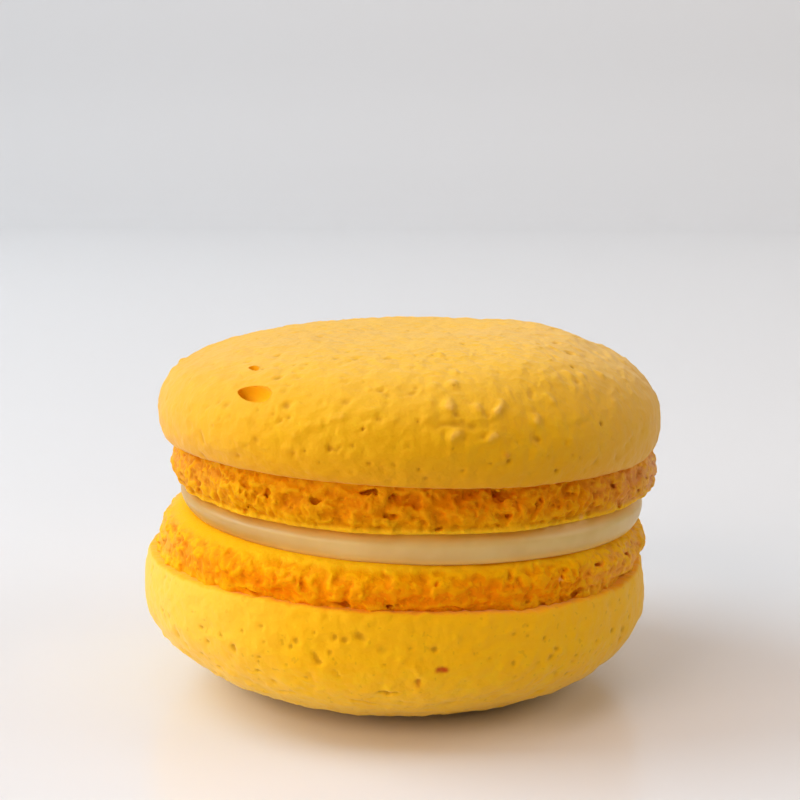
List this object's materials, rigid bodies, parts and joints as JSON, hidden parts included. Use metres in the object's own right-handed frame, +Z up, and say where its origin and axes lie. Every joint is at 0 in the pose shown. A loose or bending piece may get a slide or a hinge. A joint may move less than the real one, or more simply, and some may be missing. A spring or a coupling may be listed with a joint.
{
  "type": "french macaron",
  "caption": "French macaron: two smooth domed almond-meringue shells with craggy feet, sandwiching a pale ganache disc, resting on its lower shell.",
  "frame": {"origin": "on the table, under the middle of the macaron's outline", "axes": "+Z up through both shells, +X to the right and -Y towards the viewer, as the macaron is shown"},
  "size_m": [0.0475, 0.0467, 0.0321],
  "materials": {
    "meringue": "baked almond meringue, yellow, matte and faintly eggshell-smooth on the caps, open and crumbly on the feet",
    "ganache": "white chocolate ganache, cream, smooth with a soft satin sheen"
  },
  "bodies": {
    "root": {"lower_shell": "meringue", "filling": "ganache", "upper_shell": "meringue"}
  },
  "joints": []
}
